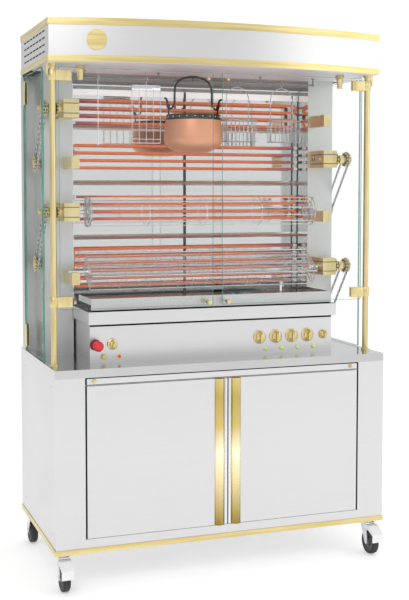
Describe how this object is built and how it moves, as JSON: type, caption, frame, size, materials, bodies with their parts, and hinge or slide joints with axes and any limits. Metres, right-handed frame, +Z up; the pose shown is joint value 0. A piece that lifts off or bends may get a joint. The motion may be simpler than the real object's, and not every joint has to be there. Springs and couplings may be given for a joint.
{
  "type": "rotisserie oven",
  "caption": "Floor-standing electric rotisserie oven: glazed chamber with chain-driven spits and heating tubes, bowed cornice, brass fittings, on a wheeled base cabinet.",
  "frame": {"origin": "on the floor, under the middle of the bounding box", "axes": "+X to the right seen from the front, +Y to the back (the front faces -Y), +Z up"},
  "size_m": [1.382, 0.729, 2.15],
  "materials": {
    "stainless": "brushed",
    "polished_steel": "polished",
    "brass": "polished",
    "glass": "clear",
    "hood_grey": "satin",
    "hot_tube": "glowing",
    "dark_iron": "matt",
    "zinc": "zinc plated",
    "black_tyre": "matt",
    "copper": "satin copper",
    "red_plastic": "gloss",
    "yellow_plastic": "gloss",
    "green_lens": "gloss"
  },
  "bodies": {
    "frame": {"base_carcass": "stainless", "counter_top": "stainless", "brass_trim": "brass", "control_box": "stainless", "cavity_liner": "polished_steel", "rear_casing": "stainless", "ceiling_panel": "hood_grey", "cornice_shell": "stainless", "hinge_posts": "brass", "heating_elements": "hot_tube", "element_supports": "dark_iron", "spit_arms": "brass", "gearmotors": "hood_grey", "drive_chains": "polished_steel", "pendant_lamps": "brass", "utensil_rail": "polished_steel", "pilot_lamps": "green_lens"},
    "base_door_left": {"base_door_left": "stainless", "base_handle_left": "brass"},
    "glass_door_left": {"glass_door_left": "glass"},
    "side_glass_left": {"side_glass_left": "glass"},
    "base_door_right": {"base_door_right": "stainless", "base_handle_right": "brass"},
    "glass_door_right": {"glass_door_right": "glass"},
    "side_glass_right": {"side_glass_right": "glass"},
    "pull_board": {"pull_board": "stainless"},
    "drip_tray": {"drip_tray": "stainless"},
    "spit_1": {"spindle_1": "brass"},
    "motor_wheel_1": {"motor_wheel_1": "brass"},
    "spit_2": {"spindle_2": "brass"},
    "motor_wheel_2": {"motor_wheel_2": "brass"},
    "spit_3": {"spindle_3": "brass", "round_basket": "polished_steel"},
    "motor_wheel_3": {"motor_wheel_3": "brass"},
    "spit_4": {"spindle_4": "brass", "flat_basket": "polished_steel"},
    "motor_wheel_4": {"motor_wheel_4": "brass"},
    "heat_knob_1": {"heat_knob_1": "brass"},
    "heat_knob_2": {"heat_knob_2": "brass"},
    "heat_knob_3": {"heat_knob_3": "brass"},
    "heat_knob_4": {"heat_knob_4": "brass"},
    "light_knob": {"light_knob": "brass"},
    "key_switch": {"key_switch": "brass"},
    "stop_button": {"stop_button": "red_plastic"},
    "start_button": {"start_button": "yellow_plastic"},
    "caster_fork_fl": {"caster_fork_fl": "zinc"},
    "caster_wheel_fl": {"caster_wheel_fl": "black_tyre"},
    "caster_fork_fr": {"caster_fork_fr": "zinc"},
    "caster_wheel_fr": {"caster_wheel_fr": "black_tyre"},
    "caster_fork_rl": {"caster_fork_rl": "zinc"},
    "caster_wheel_rl": {"caster_wheel_rl": "black_tyre"},
    "caster_fork_rr": {"caster_fork_rr": "zinc"},
    "caster_wheel_rr": {"caster_wheel_rr": "black_tyre"},
    "brake_pedal_left": {"brake_pedal_left": "zinc"},
    "brake_pedal_right": {"brake_pedal_right": "zinc"},
    "cauldron_bail": {"cauldron_bail": "dark_iron"},
    "cauldron": {"cauldron": "copper"},
    "hanging_grill": {"hanging_grill": "polished_steel"},
    "hanging_basket_left": {"hanging_basket_left": "polished_steel"},
    "hanging_basket_right": {"hanging_basket_right": "polished_steel"}
  },
  "joints": [
    {"name": "base_door_left_swing", "type": "hinge", "parent": "frame", "child": "base_door_left", "pos_m": [-0.557, -0.3195, 0.49], "axis": [0, 0, -1], "range_deg": [0, 110]},
    {"name": "glass_door_left_swing", "type": "hinge", "parent": "frame", "child": "glass_door_left", "pos_m": [-0.664, -0.2145, 1.5], "axis": [0, 0, -1], "range_deg": [0, 110]},
    {"name": "side_glass_left_swing", "type": "hinge", "parent": "frame", "child": "side_glass_left", "pos_m": [-0.683, 0.2445, 1.4], "axis": [0, 0, -1], "range_deg": [0, 90]},
    {"name": "base_door_right_swing", "type": "hinge", "parent": "frame", "child": "base_door_right", "pos_m": [0.557, -0.3195, 0.49], "axis": [0, 0, 1], "range_deg": [0, 110]},
    {"name": "glass_door_right_swing", "type": "hinge", "parent": "frame", "child": "glass_door_right", "pos_m": [0.664, -0.2145, 1.5], "axis": [0, 0, 1], "range_deg": [0, 110]},
    {"name": "side_glass_right_swing", "type": "hinge", "parent": "frame", "child": "side_glass_right", "pos_m": [0.683, 0.2445, 1.4], "axis": [0, 0, 1], "range_deg": [0, 90]},
    {"name": "pull_board_slide", "type": "slide", "parent": "frame", "child": "pull_board", "axis": [0, -1, 0], "range_m": [0, 0.4]},
    {"name": "drip_tray_slide", "type": "slide", "parent": "frame", "child": "drip_tray", "axis": [0, -1, 0], "range_m": [0, 0.22]},
    {"name": "spit_1_turn", "type": "hinge", "parent": "frame", "child": "spit_1", "pos_m": [-0.56, -0.0385, 1.832], "axis": [1, 0, 0], "continuous": true},
    {"name": "motor_wheel_1_turn", "type": "hinge", "parent": "frame", "child": "motor_wheel_1", "pos_m": [-0.64, 0.1265, 1.619], "axis": [1, 0, 0], "continuous": true},
    {"name": "spit_2_turn", "type": "hinge", "parent": "frame", "child": "spit_2", "pos_m": [0.56, -0.0385, 1.645], "axis": [1, 0, 0], "continuous": true},
    {"name": "motor_wheel_2_turn", "type": "hinge", "parent": "frame", "child": "motor_wheel_2", "pos_m": [0.64, 0.1265, 1.432], "axis": [1, 0, 0], "continuous": true},
    {"name": "spit_3_turn", "type": "hinge", "parent": "frame", "child": "spit_3", "pos_m": [-0.56, -0.0385, 1.426], "axis": [1, 0, 0], "continuous": true},
    {"name": "motor_wheel_3_turn", "type": "hinge", "parent": "frame", "child": "motor_wheel_3", "pos_m": [-0.64, 0.1265, 1.213], "axis": [1, 0, 0], "continuous": true},
    {"name": "spit_4_turn", "type": "hinge", "parent": "frame", "child": "spit_4", "pos_m": [0.56, -0.0385, 1.187], "axis": [1, 0, 0], "continuous": true},
    {"name": "motor_wheel_4_turn", "type": "hinge", "parent": "frame", "child": "motor_wheel_4", "pos_m": [0.64, 0.1265, 0.974], "axis": [1, 0, 0], "continuous": true},
    {"name": "heat_knob_1_turn", "type": "hinge", "parent": "frame", "child": "heat_knob_1", "pos_m": [0.194, -0.1885, 0.914], "axis": [0, 1, 0], "range_deg": [0, 270]},
    {"name": "heat_knob_2_turn", "type": "hinge", "parent": "frame", "child": "heat_knob_2", "pos_m": [0.2655, -0.1885, 0.914], "axis": [0, 1, 0], "range_deg": [0, 270]},
    {"name": "heat_knob_3_turn", "type": "hinge", "parent": "frame", "child": "heat_knob_3", "pos_m": [0.337, -0.1885, 0.914], "axis": [0, 1, 0], "range_deg": [0, 270]},
    {"name": "heat_knob_4_turn", "type": "hinge", "parent": "frame", "child": "heat_knob_4", "pos_m": [0.4085, -0.1885, 0.914], "axis": [0, 1, 0], "range_deg": [0, 270]},
    {"name": "light_knob_turn", "type": "hinge", "parent": "frame", "child": "light_knob", "pos_m": [0.48, -0.1885, 0.914], "axis": [0, 1, 0], "range_deg": [0, 90]},
    {"name": "key_switch_turn", "type": "hinge", "parent": "frame", "child": "key_switch", "pos_m": [-0.428, -0.1885, 0.914], "axis": [0, 1, 0], "range_deg": [0, 90]},
    {"name": "stop_button_press", "type": "slide", "parent": "frame", "child": "stop_button", "axis": [0, 1, 0], "range_m": [0, 0.006]},
    {"name": "start_button_press", "type": "slide", "parent": "frame", "child": "start_button", "axis": [0, 1, 0], "range_m": [0, 0.004], "stiffness_N_per_m": 400, "springref_m": -0.002},
    {"name": "caster_fl_swivel", "type": "hinge", "parent": "frame", "child": "caster_fork_fl", "pos_m": [-0.65, -0.2685, 0.132], "axis": [0, 0, 1], "continuous": true},
    {"name": "caster_fl_roll", "type": "hinge", "parent": "caster_fork_fl", "child": "caster_wheel_fl", "pos_m": [-0.65, -0.3015, 0.05], "axis": [1, 0, 0], "continuous": true},
    {"name": "caster_fr_swivel", "type": "hinge", "parent": "frame", "child": "caster_fork_fr", "pos_m": [0.65, -0.2685, 0.132], "axis": [0, 0, 1], "continuous": true},
    {"name": "caster_fr_roll", "type": "hinge", "parent": "caster_fork_fr", "child": "caster_wheel_fr", "pos_m": [0.65, -0.3015, 0.05], "axis": [1, 0, 0], "continuous": true},
    {"name": "caster_rl_swivel", "type": "hinge", "parent": "frame", "child": "caster_fork_rl", "pos_m": [-0.65, 0.2815, 0.132], "axis": [0, 0, 1], "continuous": true},
    {"name": "caster_rl_roll", "type": "hinge", "parent": "caster_fork_rl", "child": "caster_wheel_rl", "pos_m": [-0.65, 0.3145, 0.05], "axis": [1, 0, 0], "continuous": true},
    {"name": "caster_rr_swivel", "type": "hinge", "parent": "frame", "child": "caster_fork_rr", "pos_m": [0.65, 0.2815, 0.132], "axis": [0, 0, 1], "continuous": true},
    {"name": "caster_rr_roll", "type": "hinge", "parent": "caster_fork_rr", "child": "caster_wheel_rr", "pos_m": [0.65, 0.3145, 0.05], "axis": [1, 0, 0], "continuous": true},
    {"name": "brake_pedal_left_press", "type": "hinge", "parent": "caster_fork_fl", "child": "brake_pedal_left", "pos_m": [-0.65, -0.2935, 0.112], "axis": [1, 0, 0], "range_deg": [0, 8]},
    {"name": "brake_pedal_right_press", "type": "hinge", "parent": "caster_fork_fr", "child": "brake_pedal_right", "pos_m": [0.65, -0.2935, 0.112], "axis": [1, 0, 0], "range_deg": [0, 8]},
    {"name": "cauldron_bail_swing", "type": "hinge", "parent": "frame", "child": "cauldron_bail", "pos_m": [-0.044, -0.0385, 1.958], "axis": [1, 0, 0], "range_deg": [-6, 6]},
    {"name": "cauldron_tip", "type": "hinge", "parent": "cauldron_bail", "child": "cauldron", "pos_m": [-0.044, -0.048, 1.85], "axis": [1, 0, 0], "range_deg": [-6, 6]},
    {"name": "hanging_grill_swing", "type": "hinge", "parent": "frame", "child": "hanging_grill", "pos_m": [-0.24, -0.0385, 1.958], "axis": [1, 0, 0], "range_deg": [-10, 10]},
    {"name": "hanging_basket_left_swing", "type": "hinge", "parent": "frame", "child": "hanging_basket_left", "pos_m": [0.156, -0.0385, 1.958], "axis": [1, 0, 0], "range_deg": [-10, 10]},
    {"name": "hanging_basket_right_swing", "type": "hinge", "parent": "frame", "child": "hanging_basket_right", "pos_m": [0.356, -0.0385, 1.958], "axis": [1, 0, 0], "range_deg": [-10, 10]}
  ],
  "couplings": [
    {"joint": "motor_wheel_1_turn", "follows": "spit_1_turn", "ratio": 1},
    {"joint": "motor_wheel_2_turn", "follows": "spit_2_turn", "ratio": 1},
    {"joint": "motor_wheel_3_turn", "follows": "spit_3_turn", "ratio": 1},
    {"joint": "motor_wheel_4_turn", "follows": "spit_4_turn", "ratio": 1}
  ]
}
